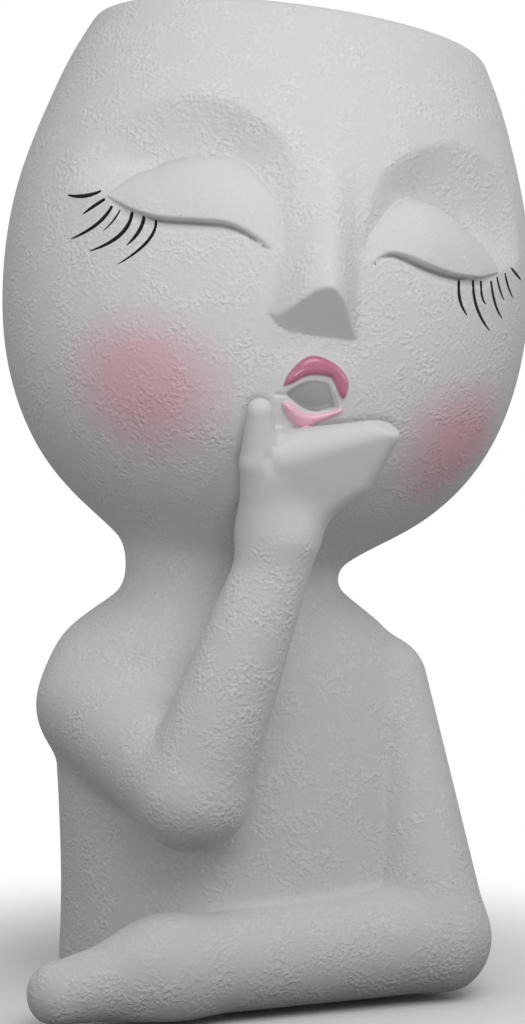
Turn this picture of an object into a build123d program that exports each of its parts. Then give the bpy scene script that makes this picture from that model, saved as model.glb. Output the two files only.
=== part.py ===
from build123d import *
import os
from math import asin, cos, degrees, radians, sin

# Head planter: a hollow cast bust that carries a tilted, open-topped head with a raised hand at its chin.
# Millimetres. +Z is up, the face looks along -Y, and the origin is the middle of the standing face.

# Overall sizes
HEAD_HEIGHT = 123.0
HEAD_WIDTH = 120.4
HEAD_DEPTH = 102.0
HEAD_TILT = 6.2
FACE_FORWARD = 7.5
NECK_WIDTH = 48.4
NECK_DEPTH = 41.0
NECK_SHIFT_X = -3.5
NECK_SHIFT_Y = 1.0
TORSO_HEIGHT = 92.5
TORSO_WIDTH = 86.6
TORSO_DEPTH = 66.0

# Walls of the castings
BOWL_WALL = 6.0
FACE_EXTRA_WALL = 4.0
BOWL_FLOOR = 12.0
RIM_RADIUS = 2.0
RIM_FLARE_SHARE = 0.8
TORSO_WALL = 7.0
CASTING_CLEARANCE = 0.2
OVERRUN = 5.0

# Cross-sections of the head from the neck joint to the rim.
# Widths and depths run from the neck's size at 0 to the head's at 1.
HEAD_LEVEL_SHARES = (0, 0.0325, 0.065, 0.11, 0.16, 0.24, 0.342, 0.504, 0.667, 0.829, 0.911, 1)
HEAD_WIDTH_SHARES = (0, 0.039, 0.161, 0.378, 0.572, 0.772, 0.917, 1, 0.978, 0.833, 0.722, 0.544)
HEAD_DEPTH_SHARES = (0, 0.05, 0.18, 0.397, 0.587, 0.787, 0.928, 1, 0.967, 0.823, 0.705, 0.541)
HEAD_FORWARD_SHARES = (0, 0.13, 0.33, 0.65, 0.84, 0.98, 1, 0.93, 0.8, 0.67, 0.6, 0.53)
TILT_SETTLE_SHARE = 0.11
CAVITY_SKIP_COUNT = 1

# Cross-sections of the bust from its underside to the neck joint.
# Widths and depths run from the neck's size at 0 to the torso's at 1.
TORSO_LEVEL_SHARES = (0, 0.03, 0.1, 0.36, 0.62, 0.74, 0.81, 0.87, 0.925, 0.965, 1)
TORSO_WIDTH_SHARES = (0.9, 0.975, 1, 0.99, 0.975, 0.9, 0.775, 0.52, 0.205, 0.047, 0)
TORSO_DEPTH_SHARES = (0.8, 0.935, 1, 0.945, 0.775, 0.655, 0.535, 0.37, 0.185, 0.04, 0)
TORSO_SHIFT_X_SHARES = (0, 0, 0, 0, 0.46, 0.97, 1.23, 1.28, 1.2, 1.06, 1)
TORSO_SHIFT_Y_SHARES = (0, 0, 0, 0.4, 1, 1, 1, 1, 1, 1, 1)
HOLLOW_SECTION_COUNT = 7

# Places on the arms, as shares of the bust's half width, half depth and height
RIGHT_SHOULDER_SHARES = (-0.8, -0.12, 0.675)
RIGHT_ELBOW_SHARES = (-0.51, -1.18, 0.515)
LEFT_SHOULDER_SHARES = (0.69, -0.182, 0.724)
LEFT_ELBOW_SHARES = (0.827, -0.818, 0.13)
LEFT_WRIST_SHARES = (-0.64, -1.09, 0.103)
LEFT_FINGERTIP_SHARES = (-1.16, -1.15, 0.07)

# Places on the raised hand, from the neck joint, as shares of the head's half width, half depth and height
RIGHT_WRIST_SHARES = (-0.073, -0.95, 0.035)
PALM_HEEL_SHARES = (-0.046, -0.99, 0.116)
FINGERTIP_SHARES = (0.304, -1.078, 0.244)
THUMB_ROOT_SHARES = (-0.116, -1.02, 0.134)
THUMB_TIP_SHARES = (-0.14, -1.078, 0.279)
PALM_EDGE_SHARES = (0.125, -1.051, 0.232)

# Radii of the arms and of the raised hand
RIGHT_SHOULDER_RADIUS = 14.5
RIGHT_ELBOW_RADIUS = 12.0
FOREARM_RADIUS = 11.6
RIGHT_WRIST_RADIUS = 8.0
PALM_RADIUS = 8.6
PALM_EDGE_RADIUS = 5.0
FINGERTIP_RADIUS = 3.6
THUMB_ROOT_RADIUS = 6.2
THUMB_TIP_RADIUS = 3.2
LEFT_SHOULDER_RADIUS = 11.2
LEFT_ELBOW_RADIUS = 12.6
LEFT_WRIST_RADIUS = 10.6
LEFT_FINGERTIP_RADIUS = 7.0
# A limb that grows out of another limb's ball starts a little smaller than that ball
NESTED_BALL_SHARE = 0.97

# Face: angles run round the head from straight ahead, towards +X
EYE_ANGLES = (-31.0, 24.5)
EYE_LEVEL_SHARES = (0.618, 0.594)
LID_WIDTH = 36.0
LID_HEIGHT = 25.0
LID_DEPTH = 15.0
LID_RISE = 2.6
LASH_LINE_SHARE = -0.3
SOCKET_WIDTH = 44.0
SOCKET_HEIGHT = 31.0
SOCKET_DEPTH = 3.0
SOCKET_LIFT = 7.0
FACE_ANGLE = -2.0
BRIDGE_LEVEL_SHARE = 0.66
NOSE_TIP_LEVEL_SHARE = 0.493
NOSE_BASE_LEVEL_SHARE = 0.42
NOSE_WIDTH = 24.0
NOSE_RISE = 8.5
BRIDGE_WIDTH = 12.0
BRIDGE_RISE = 1.0
NOSE_ROOT_DEPTH = 3.0
NOSE_RIDGE_RADIUS = 2.5
MOUTH_LEVEL_SHARE = 0.32
MOUTH_WIDTH = 14.2
MOUTH_HEIGHT = 15.6
MOUTH_DEPTH = 3.0
LIP_THICKNESS = 4.4

# Neck spigot and elbow dowel
SPIGOT_RADIUS = 13.0
SPIGOT_LENGTH = 9.0
DOWEL_RADIUS = 2.0
DOWEL_IN_ELBOW = 9.0
DOWEL_IN_FOREARM = 12.0
DOWEL_CLEARANCE = 0.1

# Drain, base plate and pad
TUBE_RADIUS = 6.0
TUBE_BORE_RADIUS = 4.5
TUBE_CLEARANCE = 0.1
PLATE_THICKNESS = 6.0
PLATE_LEDGE = 2.5
PLUG_RECESS_DEPTH = 3.2
PLUG_RECESS_RADIUS = 10.0
PAD_THICKNESS = 1.5
PAD_INSET = 2.0
PAD_HOLE_RADIUS = 10.5

# Drain plug
PLUG_CLEARANCE = 0.1
PLUG_SHANK_LENGTH = 12.0
PLUG_LEAD = 1.2
PLUG_FLANGE_RADIUS = 9.0
PLUG_FLANGE_THICKNESS = 1.6
PLUG_TAB_LENGTH = 11.0
PLUG_TAB_WIDTH = 2.6
PLUG_TAB_DROP = 2.4

# Drain screen
SCREEN_RADIUS = 14.0
SCREEN_THICKNESS = 1.6
SCREEN_FOOT_RADIUS = 1.5
SCREEN_FOOT_HEIGHT = 0.8
SCREEN_FOOT_COUNT = 4
SCREEN_HOLE_RADIUS = 1.3
SCREEN_RING_SHARES = (0.36, 0.62)
SCREEN_RING_COUNTS = (6, 12)
SCREEN_FOOT_RING_SHARE = 0.84
SCREEN_PIN_RADIUS = 2.5
SCREEN_PIN_LENGTH = 5.0
KNOB_STEM_RADIUS = 2.0
KNOB_RADIUS = 3.4
KNOB_HEIGHT = 8.0

# Levels and centres that the pieces share
CASTING_BASE = PAD_THICKNESS
NECK_LEVEL = CASTING_BASE + TORSO_HEIGHT
NECK = Vector(NECK_SHIFT_X, NECK_SHIFT_Y, NECK_LEVEL)
FLOOR_LEVEL = NECK_LEVEL + BOWL_FLOOR
PLATE_TOP = CASTING_BASE + PLATE_THICKNESS
PLUG_SEAT = CASTING_BASE + PLUG_RECESS_DEPTH
DRAIN = Location((NECK_SHIFT_X, NECK_SHIFT_Y, 0))


def between(level_share, level_shares, values):
    """Value at a level, straight between the two nearest stations."""
    for low in range(len(level_shares) - 1):
        if level_share <= level_shares[low + 1]:
            break
    span = level_shares[low + 1] - level_shares[low]
    part = (level_share - level_shares[low]) / span
    return values[low] + (values[low + 1] - values[low]) * part


def widen(neck_size, full_size, size_share):
    """Half size of a cross-section that grows from the neck's size to the full one."""
    return (neck_size + (full_size - neck_size) * size_share) / 2


def head_half_sizes(level_share):
    """Half width, half depth and forward shift of the head at a level."""
    width_share = between(level_share, HEAD_LEVEL_SHARES, HEAD_WIDTH_SHARES)
    depth_share = between(level_share, HEAD_LEVEL_SHARES, HEAD_DEPTH_SHARES)
    forward_share = between(level_share, HEAD_LEVEL_SHARES, HEAD_FORWARD_SHARES)
    half_width = widen(NECK_WIDTH, HEAD_WIDTH, width_share)
    half_depth = widen(NECK_DEPTH, HEAD_DEPTH, depth_share)
    return half_width, half_depth, FACE_FORWARD * forward_share


def head_plane(level_share, setback=0):
    """Plane of a head cross-section: level at the neck joint, square to the tilted axis higher up."""
    lean = radians(HEAD_TILT)
    turn = lean * min(level_share / TILT_SETTLE_SHARE, 1)
    rise = HEAD_HEIGHT * level_share
    forward = head_half_sizes(level_share)[2] - setback
    origin = NECK + Vector(sin(lean) * rise, -forward, cos(lean) * rise)
    return Plane(origin, x_dir=(cos(turn), 0, -sin(turn)), z_dir=(sin(turn), 0, cos(turn)))


def face_plane(angle, level_share):
    """Plane on the head's skin: x runs round the head, y up it and z straight out of it."""
    half_width, half_depth, forward = head_half_sizes(level_share)
    turn = radians(angle)
    section = head_plane(level_share)
    outward = section.x_dir * (sin(turn) / half_width) - section.y_dir * (cos(turn) / half_depth)
    spot = section.origin + section.x_dir * (half_width * sin(turn)) - section.y_dir * (half_depth * cos(turn))
    upward = section.z_dir
    return Plane(spot, x_dir=upward.cross(outward), z_dir=outward)


def on_torso(place_shares):
    """Point on the bust from shares of its half width, half depth and height."""
    across, deep, high = place_shares
    return Vector(TORSO_WIDTH / 2 * across, TORSO_DEPTH / 2 * deep, CASTING_BASE + TORSO_HEIGHT * high)


def on_head(place_shares):
    """Point near the chin, from the neck joint, from shares of the head's half sizes and height."""
    across, deep, high = place_shares
    return NECK + Vector(HEAD_WIDTH / 2 * across, HEAD_DEPTH / 2 * deep, HEAD_HEIGHT * high)


def ellipsoid(width, height, depth):
    """Ellipsoid about the origin from its full sizes along x, y and z, with its seam on the -z side."""
    ball = Plane(origin=(0, 0, 0), x_dir=(0, 0, -1), z_dir=(1, 0, 0)) * Sphere(1)
    return scale(ball, by=(width / 2, height / 2, depth / 2))


def limb(start, end, start_radius, end_radius):
    """Tapered limb with ball ends at two joints."""
    length = (end - start).length
    taper = asin((start_radius - end_radius) / length)
    low = Vector(start_radius * cos(taper), start_radius * sin(taper))
    high = Vector(end_radius * cos(taper), length + end_radius * sin(taper))
    right_angle = degrees(asin(1))
    outline = [
        CenterArc((0, 0), start_radius, -right_angle, right_angle + degrees(taper)),
        Line(low, high),
        CenterArc((0, length), end_radius, degrees(taper), right_angle - degrees(taper)),
        Line((0, length + end_radius), (0, -start_radius)),
    ]
    solid = revolve(Plane.XZ * make_face(outline), axis=Axis.Z)
    return Plane(start, z_dir=end - start) * solid


def head_loft(wall, front_extra, first):
    """Head shape drawn in by a wall, with a thicker wall behind the face, from one station up to the rim."""
    sections = []
    for level_share in HEAD_LEVEL_SHARES[first:]:
        half_width, half_depth, forward = head_half_sizes(level_share)
        section = Ellipse(half_width - wall, half_depth - wall - front_extra / 2)
        sections.append(head_plane(level_share, front_extra / 2) * section)
    return loft(sections), sections[-1]


def torso_loft(wall, count):
    """Bust shape drawn in by a wall, through the lowest stations."""
    sections = []
    for row in range(count):
        half_width = widen(NECK_WIDTH, TORSO_WIDTH, TORSO_WIDTH_SHARES[row]) - wall
        half_depth = widen(NECK_DEPTH, TORSO_DEPTH, TORSO_DEPTH_SHARES[row]) - wall
        shift_x = NECK_SHIFT_X * TORSO_SHIFT_X_SHARES[row]
        shift_y = NECK_SHIFT_Y * TORSO_SHIFT_Y_SHARES[row]
        level = CASTING_BASE + TORSO_HEIGHT * TORSO_LEVEL_SHARES[row]
        sections.append(Pos(shift_x, shift_y, level) * Ellipse(half_width, half_depth))
    return loft(sections)


def base_half_sizes(inset):
    """Half width and half depth of the bust's underside, drawn in."""
    half_width = widen(NECK_WIDTH, TORSO_WIDTH, TORSO_WIDTH_SHARES[0]) - inset
    half_depth = widen(NECK_DEPTH, TORSO_DEPTH, TORSO_DEPTH_SHARES[0]) - inset
    return half_width, half_depth


def upright(radius, bottom, top, spot=Location()):
    """Round bar between two levels, on the drain's axis or at a spot beside it."""
    bar = Cylinder(radius, top - bottom, align=(Align.CENTER, Align.CENTER, Align.MIN))
    return DRAIN * spot * Pos(0, 0, bottom) * bar


def oval_slab(half_width, half_depth, bottom, top):
    """Oval slab about the origin between two levels."""
    return Pos(0, 0, bottom) * extrude(Ellipse(half_width, half_depth), top - bottom)


def eye_socket(plane):
    """Shallow hollow under the brow."""
    return plane * Pos(0, SOCKET_LIFT, 0) * ellipsoid(SOCKET_WIDTH, SOCKET_HEIGHT, 2 * SOCKET_DEPTH)


def eyelid(plane):
    """Closed lid: a bulge that ends in a ledge along the lash line."""
    bulge = Pos(0, 0, LID_RISE - LID_DEPTH / 2) * ellipsoid(LID_WIDTH, LID_HEIGHT, LID_DEPTH)
    lash_line = LID_HEIGHT / 2 * LASH_LINE_SHARE
    keep = Box(LID_WIDTH, LID_HEIGHT, LID_DEPTH + LID_RISE, align=(Align.CENTER, Align.MIN, Align.CENTER))
    return plane * (bulge & Pos(0, lash_line, 0) * keep)


def nose():
    """Wedge from the bridge to a raised tip, with a flat slanting underside and a rounded ridge."""
    base = face_plane(FACE_ANGLE, NOSE_BASE_LEVEL_SHARE)
    tip = face_plane(FACE_ANGLE, NOSE_TIP_LEVEL_SHARE)
    bridge = face_plane(FACE_ANGLE, BRIDGE_LEVEL_SHARE)
    underside = [
        base.origin - base.x_dir * NOSE_WIDTH / 2 - base.z_dir * NOSE_ROOT_DEPTH,
        base.origin + base.x_dir * NOSE_WIDTH / 2 - base.z_dir * NOSE_ROOT_DEPTH,
        tip.origin + tip.z_dir * NOSE_RISE,
    ]
    top = [
        bridge.origin - bridge.x_dir * BRIDGE_WIDTH / 2 - bridge.z_dir * NOSE_ROOT_DEPTH,
        bridge.origin + bridge.x_dir * BRIDGE_WIDTH / 2 - bridge.z_dir * NOSE_ROOT_DEPTH,
        bridge.origin + bridge.z_dir * BRIDGE_RISE,
    ]
    triangles = [Face(Wire.make_polygon(points)) for points in (underside, top)]
    wedge = loft(triangles, ruled=True)
    ridge = wedge.edges().sort_by(lambda edge: (edge.center() - underside[2] / 2 - top[2] / 2).length)[0]
    return fillet(ridge, NOSE_RIDGE_RADIUS)


def lips():
    """Ring of pursed lips, and the hollow inside it."""
    plane = face_plane(FACE_ANGLE, MOUTH_LEVEL_SHARE)
    middle_radius = (MOUTH_WIDTH - LIP_THICKNESS) / 2
    stretch = (MOUTH_HEIGHT - LIP_THICKNESS) / (MOUTH_WIDTH - LIP_THICKNESS)
    ring = scale(Torus(middle_radius, LIP_THICKNESS / 2), by=(1, stretch, 1))
    opening = ellipsoid(2 * middle_radius, 2 * middle_radius * stretch, 2 * MOUTH_DEPTH)
    return plane * ring, plane * opening


def head_form():
    """The head as a solid, with its face, before it is hollowed."""
    form = head_loft(0, 0, 0)[0]
    top = max(form.faces().filter_by(GeomType.PLANE), key=lambda face: face.center().Z)
    form = fillet(top.edges(), min(RIM_RADIUS, BOWL_WALL / 3))
    for angle, level_share in zip(EYE_ANGLES, EYE_LEVEL_SHARES):
        plane = face_plane(angle, level_share)
        form = form - eye_socket(plane) + eyelid(plane)
    ring, opening = lips()
    return form + nose() + ring - opening


def head_cavity():
    """Planting space from a level floor up past the rim, with a flared mouth."""
    space, mouth = head_loft(BOWL_WALL, FACE_EXTRA_WALL, CAVITY_SKIP_COUNT)
    space = space + extrude(mouth, OVERRUN)
    space = split(space, bisect_by=Plane.XY.offset(FLOOR_LEVEL), keep=Keep.TOP)
    half_width, half_depth, forward = head_half_sizes(1)
    rim = head_plane(1, FACE_EXTRA_WALL / 2)
    flare = []
    for height, spread in ((-RIM_RADIUS, 0), (OVERRUN, OVERRUN + RIM_RADIUS)):
        inset = BOWL_WALL - spread * RIM_FLARE_SHARE
        flare.append(rim.offset(height) * Ellipse(half_width - inset, half_depth - inset - FACE_EXTRA_WALL / 2))
    return space + loft(flare)


def make_head_bowl(form):
    """Head hollowed from the rim to a level floor, with a spigot for the bust's neck."""
    bowl = form - head_cavity()
    bowl = bowl + upright(SPIGOT_RADIUS, NECK_LEVEL - SPIGOT_LENGTH, FLOOR_LEVEL)
    drain = upright(TUBE_RADIUS + TUBE_CLEARANCE, NECK_LEVEL - SPIGOT_LENGTH - OVERRUN, FLOOR_LEVEL + OVERRUN)
    return bowl - drain


def torso_form():
    """The bust with both upper arms and the resting forearm as a solid, flat underneath."""
    form = torso_loft(0, len(TORSO_LEVEL_SHARES))
    right_shoulder = on_torso(RIGHT_SHOULDER_SHARES)
    right_elbow = on_torso(RIGHT_ELBOW_SHARES)
    left_shoulder = on_torso(LEFT_SHOULDER_SHARES)
    left_elbow = on_torso(LEFT_ELBOW_SHARES)
    left_wrist = on_torso(LEFT_WRIST_SHARES)
    left_fingertip = on_torso(LEFT_FINGERTIP_SHARES)
    form = form + limb(right_shoulder, right_elbow, RIGHT_SHOULDER_RADIUS, RIGHT_ELBOW_RADIUS)
    form = form + limb(left_shoulder, left_elbow, LEFT_SHOULDER_RADIUS, LEFT_ELBOW_RADIUS)
    form = form + limb(left_elbow, left_wrist, LEFT_ELBOW_RADIUS * NESTED_BALL_SHARE, LEFT_WRIST_RADIUS)
    form = form + limb(left_wrist, left_fingertip, LEFT_WRIST_RADIUS * NESTED_BALL_SHARE, LEFT_FINGERTIP_RADIUS)
    return split(form, bisect_by=Plane.XY.offset(CASTING_BASE), keep=Keep.TOP)


def make_torso_shell(form, dowel_hole):
    """Bust hollowed from below, with a ledge for the base plate and an open socket for the head's spigot."""
    hollow = torso_loft(TORSO_WALL, HOLLOW_SECTION_COUNT)
    half_width, half_depth = base_half_sizes(TORSO_WALL - PLATE_LEDGE)
    pocket = oval_slab(half_width, half_depth, CASTING_BASE - OVERRUN, PLATE_TOP)
    socket = upright(SPIGOT_RADIUS + CASTING_CLEARANCE, PLATE_TOP, NECK_LEVEL + OVERRUN)
    return form - hollow - pocket - socket - dowel_hole


def forearm_form():
    """The raised forearm with its cupped hand, before it is fitted to the elbow and the chin."""
    elbow = on_torso(RIGHT_ELBOW_SHARES)
    wrist = on_head(RIGHT_WRIST_SHARES)
    palm_heel = on_head(PALM_HEEL_SHARES)
    form = limb(elbow, wrist, FOREARM_RADIUS, RIGHT_WRIST_RADIUS)
    form = form + limb(wrist, palm_heel, RIGHT_WRIST_RADIUS * NESTED_BALL_SHARE, PALM_RADIUS)
    form = form + limb(palm_heel, on_head(FINGERTIP_SHARES), PALM_RADIUS * NESTED_BALL_SHARE, FINGERTIP_RADIUS)
    thumb_root = on_head(THUMB_ROOT_SHARES)
    form = form + limb(thumb_root, on_head(THUMB_TIP_SHARES), THUMB_ROOT_RADIUS, THUMB_TIP_RADIUS)
    palm_edge = on_head(PALM_EDGE_SHARES)
    return form + limb(thumb_root, palm_edge, THUMB_ROOT_RADIUS * NESTED_BALL_SHARE, PALM_EDGE_RADIUS)


def dowel(clearance):
    """Pin along the forearm, half in the elbow and half in the forearm."""
    elbow = on_torso(RIGHT_ELBOW_SHARES)
    along = (on_head(RIGHT_WRIST_SHARES) - elbow).normalized()
    start = elbow + along * (RIGHT_ELBOW_RADIUS - DOWEL_IN_ELBOW - clearance)
    length = DOWEL_IN_ELBOW + DOWEL_IN_FOREARM + 2 * clearance
    pin = Cylinder(DOWEL_RADIUS + clearance, length, align=(Align.CENTER, Align.CENTER, Align.MIN))
    return Plane(start, z_dir=along) * pin


def make_base_plate():
    """Oval plate that closes the bust, with a hole for the tube and a recess for the plug's flange."""
    half_width, half_depth = base_half_sizes(TORSO_WALL - PLATE_LEDGE + CASTING_CLEARANCE)
    plate = oval_slab(half_width, half_depth, CASTING_BASE, PLATE_TOP)
    plate = plate - upright(TUBE_RADIUS + TUBE_CLEARANCE, CASTING_BASE, PLATE_TOP)
    return plate - upright(PLUG_RECESS_RADIUS, CASTING_BASE, PLUG_SEAT)


def make_base_pad():
    """Oval sheet with a hole round the drain."""
    half_width, half_depth = base_half_sizes(PAD_INSET)
    return oval_slab(half_width, half_depth, 0, PAD_THICKNESS) - upright(PAD_HOLE_RADIUS, 0, PAD_THICKNESS)


def make_drain_tube():
    """Tube from the plug's seat to the bowl's floor."""
    return upright(TUBE_RADIUS, PLUG_SEAT, FLOOR_LEVEL) - upright(TUBE_BORE_RADIUS, PLUG_SEAT, FLOOR_LEVEL)


def make_drain_plug():
    """Rubber plug: tapered lead, shank in the tube's bore, flange in its recess and a tab to pull."""
    radius = TUBE_BORE_RADIUS - PLUG_CLEARANCE
    shank = upright(radius, PLUG_SEAT, PLUG_SEAT + PLUG_SHANK_LENGTH)
    shank = chamfer(shank.edges().sort_by(Axis.Z)[-1], min(PLUG_LEAD, radius / 2))
    flange = upright(PLUG_FLANGE_RADIUS, PLUG_SEAT - PLUG_FLANGE_THICKNESS, PLUG_SEAT)
    tab = Box(PLUG_TAB_LENGTH, PLUG_TAB_WIDTH, PLUG_TAB_DROP, align=(Align.CENTER, Align.CENTER, Align.MAX))
    return shank + flange + DRAIN * Pos(0, 0, PLUG_SEAT - PLUG_FLANGE_THICKNESS) * tab


def make_drain_screen():
    """Perforated disc on small feet, with a pin in the tube's bore and a knob to lift it by."""
    bottom = FLOOR_LEVEL + SCREEN_FOOT_HEIGHT
    top = bottom + SCREEN_THICKNESS
    screen = upright(SCREEN_RADIUS, bottom, top)
    for ring_share, count in zip(SCREEN_RING_SHARES, SCREEN_RING_COUNTS):
        for spot in PolarLocations(SCREEN_RADIUS * ring_share, count):
            screen = screen - upright(SCREEN_HOLE_RADIUS, bottom, top, spot)
    for spot in PolarLocations(SCREEN_RADIUS * SCREEN_FOOT_RING_SHARE, SCREEN_FOOT_COUNT):
        screen = screen + upright(SCREEN_FOOT_RADIUS, FLOOR_LEVEL, bottom, spot)
    screen = screen + upright(SCREEN_PIN_RADIUS, bottom - SCREEN_PIN_LENGTH, bottom)
    screen = screen + upright(KNOB_STEM_RADIUS, top, top + KNOB_HEIGHT)
    return screen + DRAIN * Pos(0, 0, top + KNOB_HEIGHT) * Sphere(KNOB_RADIUS)


def make_parts():
    """Every piece of the planter by its name."""
    head = head_form()
    torso = torso_form()
    dowel_hole = dowel(DOWEL_CLEARANCE)
    return {
        "head_bowl": make_head_bowl(head),
        "torso_shell": make_torso_shell(torso, dowel_hole),
        "raised_forearm": forearm_form() - torso - head - dowel_hole,
        "elbow_dowel": dowel(0),
        "base_plate": make_base_plate(),
        "base_pad": make_base_pad(),
        "drain_tube": make_drain_tube(),
        "drain_plug": make_drain_plug(),
        "drain_screen": make_drain_screen(),
    }


os.makedirs("parts", exist_ok=True)
for name, part in make_parts().items():
    export_step(part, f"parts/{name}.step")
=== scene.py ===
from math import cos, radians, sin

import bmesh
import bpy
import numpy as np
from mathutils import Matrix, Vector
from mathutils.bvhtree import BVHTree


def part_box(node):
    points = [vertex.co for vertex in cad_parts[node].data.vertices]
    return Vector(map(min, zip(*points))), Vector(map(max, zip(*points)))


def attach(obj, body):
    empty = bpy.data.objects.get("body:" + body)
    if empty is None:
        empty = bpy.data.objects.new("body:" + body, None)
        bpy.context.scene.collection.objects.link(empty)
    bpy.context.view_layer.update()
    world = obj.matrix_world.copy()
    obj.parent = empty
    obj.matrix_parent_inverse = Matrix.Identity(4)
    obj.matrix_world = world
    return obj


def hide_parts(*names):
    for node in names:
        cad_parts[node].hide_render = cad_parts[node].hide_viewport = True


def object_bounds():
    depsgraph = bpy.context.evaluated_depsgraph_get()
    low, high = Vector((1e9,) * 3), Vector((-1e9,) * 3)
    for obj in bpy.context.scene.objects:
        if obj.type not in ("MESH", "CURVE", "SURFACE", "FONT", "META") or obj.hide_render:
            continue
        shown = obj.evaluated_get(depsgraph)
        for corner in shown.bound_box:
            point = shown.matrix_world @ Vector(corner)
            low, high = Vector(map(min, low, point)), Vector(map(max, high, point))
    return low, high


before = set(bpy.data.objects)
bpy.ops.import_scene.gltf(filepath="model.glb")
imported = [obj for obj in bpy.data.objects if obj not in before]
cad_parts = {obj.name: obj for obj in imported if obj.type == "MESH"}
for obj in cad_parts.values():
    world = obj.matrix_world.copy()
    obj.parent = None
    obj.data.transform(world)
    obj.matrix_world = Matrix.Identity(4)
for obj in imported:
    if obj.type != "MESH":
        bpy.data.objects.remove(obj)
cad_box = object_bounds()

# Head planter: one seamless painted casting over the frame's three castings, with painted lips, blush and
# lashes. The sculpting works in millimetres in the frame's own axes, and the finished meshes are in metres.
MM = 0.001

# The photograph's frame, in pixels
PHOTO_WIDTH = 525
PHOTO_HEIGHT = 1024

# Camera: where it stands round the planter, what it looks at, its focal length in pixels, its sensor in
# millimetres and the nearest thing that it sees in metres
CAMERA_AZIMUTH = -15.0
CAMERA_ELEVATION = 0.6
CAMERA_DISTANCE = 520.0
CAMERA_TARGET = (2.0, -6.0, 109.5)
FOCAL_PIXELS = 2283.0
OPTICAL_CENTRE = (262.0, 505.5)
SENSOR_WIDTH = 36.0
NEAREST_SEEN = 0.01


def frame_box(node):
    """Lowest and highest corner of a node of the frame, in millimetres."""
    return [np.array(corner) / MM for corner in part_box(node)]


# Levels and places that the frame gives
torso_low, torso_high = frame_box("torso_shell")
tube_low, tube_high = frame_box("drain_tube")
plate_low, plate_high = frame_box("base_plate")
CASTING_BASE = torso_low[2]
FLOOR_LEVEL = tube_high[2]
PLATE_TOP = plate_high[2]
DRAIN = (tube_low + tube_high) / 2
DRAIN_RADIUS = (tube_high[0] - tube_low[0]) / 2
PLATE_HALF_WIDTH = (plate_high[0] - plate_low[0]) / 2
PLATE_HALF_DEPTH = (plate_high[1] - plate_low[1]) / 2
NECK = np.array([DRAIN[0], DRAIN[1], torso_high[2]])

# Head cross-sections above the neck joint: level, half width, half depth and how far forward
HEAD_TILT = 6.2
HEAD_HEIGHT = 123.0
HEAD_LEVELS = (-9, 0, 4, 8, 13.5, 19.7, 29.5, 42, 62, 82, 102, 112, 123)
HEAD_HALF_WIDTHS = (23.8, 23.8, 25.4, 30, 37.8, 44.8, 52, 57.2, 60.2, 58.9, 53.5, 49.9, 44.6)
HEAD_HALF_DEPTHS = (20.5, 20.5, 22, 26, 32.6, 38.4, 44.5, 48.8, 51, 50, 45.6, 42, 37)
HEAD_FORWARDS = (0, 0, 1, 2.5, 4.9, 6.3, 7.4, 7.5, 7, 6, 5, 4.5, 4)
BOWL_WALL = 6.0
FACE_EXTRA_WALL = 4.0
RIM_ROUNDING = 2.5
FLOOR_ROUNDING = 4.0

# Bust cross-sections: level, half width, half depth and sideways shift
TORSO_LEVELS = (1.5, 4.3, 10.8, 34.8, 58.9, 70, 76.4, 82, 87.1, 90.8, 94, 100)
TORSO_HALF_WIDTHS = (41.4, 42.8, 43.3, 43.1, 42.8, 41.8, 40.2, 36.2, 29.6, 25.2, 23.8, 23.8)
TORSO_HALF_DEPTHS = (30.5, 32.2, 33, 32.3, 30.2, 28.7, 27.2, 25.1, 22.8, 21, 20.5, 20.5)
TORSO_SHIFTS_X = (0, 0, 0, 0, -1.6, -3.4, -4.3, -4.5, -4.2, -3.7, -3.5, -3.5)
TORSO_SHIFTS_Y = (0, 0, 0, 0.4, 1, 1, 1, 1, 1, 1, 1, 1)
TORSO_WALL = 7.0
HOLLOW_TOP = 76.4

# Joints of the arms and of the raised hand, each with its radius, and the plane that opens the palm's top
RIGHT_SHOULDER = ((-34.6, -4.0, 65.0), 14.8)
RIGHT_ELBOW = ((-22.1, -38.9, 49.1), 12.0)
RIGHT_WRIST = ((-5.0, -47.9, 102.0), 7.5)
PALM_HEEL = ((-6.5, -47.0, 107.0), 6.6)
PALM_TOP = ((-6.5, -54.2, 120.0), 5.6)
KNUCKLES = ((8.8, -54.1, 116.2), 4.6)
FINGERTIP = ((14.0, -59.9, 125.0), 3.0)
PALM_RIM = (4.0, -60.0, 127.3)
PALM_RIM_SLOPES = (0.2, 0.62)
PALM_RIM_BEND = -0.026
THUMB_ROOT = ((-7.4, -48.5, 106.0), 6.0)
THUMB_MIDDLE = ((-11.3, -53.9, 119.0), 4.3)
THUMB_TIP = ((-12.4, -58.0, 129.4), 2.7)
LEFT_SHOULDER = ((29.9, -6.0, 68.5), 11.2)
LEFT_ELBOW = ((35.8, -27.0, 13.5), 12.6)
LEFT_WRIST = ((-27.7, -36.0, 11.0), 10.6)
LEFT_FINGERTIP = ((-50.2, -38.0, 8.0), 7.0)

# How softly the forms run into each other, with the crease beside the resting arm and the groove at the thumb
NECK_BLEND = 3.0
ARM_BLEND = 4.0
RESTING_ARM_BLEND = 2.0
ARM_CREASE_DEPTH = 0.6
ARM_CREASE_WIDTH = 2.4
ARM_CREASE_TOP = 64.0
ARM_CREASE_FOOT = 26.0
ARM_CREASE_FADE = 14.0
FOREARM_BLEND = 2.0
PALM_BLEND = 7.0
PALM_RIM_ROUNDING = 0.5
THUMB_BLEND = 3.5
THUMB_BEND_BLEND = 0.5
THUMB_GROOVE_DEPTH = 1.0
THUMB_GROOVE_WIDTH = 0.9
THUMB_GROOVE_MIDDLE = 120.0
THUMB_GROOVE_REACH = 5.0
BASE_ROUNDING = 2.0
HOLLOW_ROUNDING = 1.0

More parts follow.
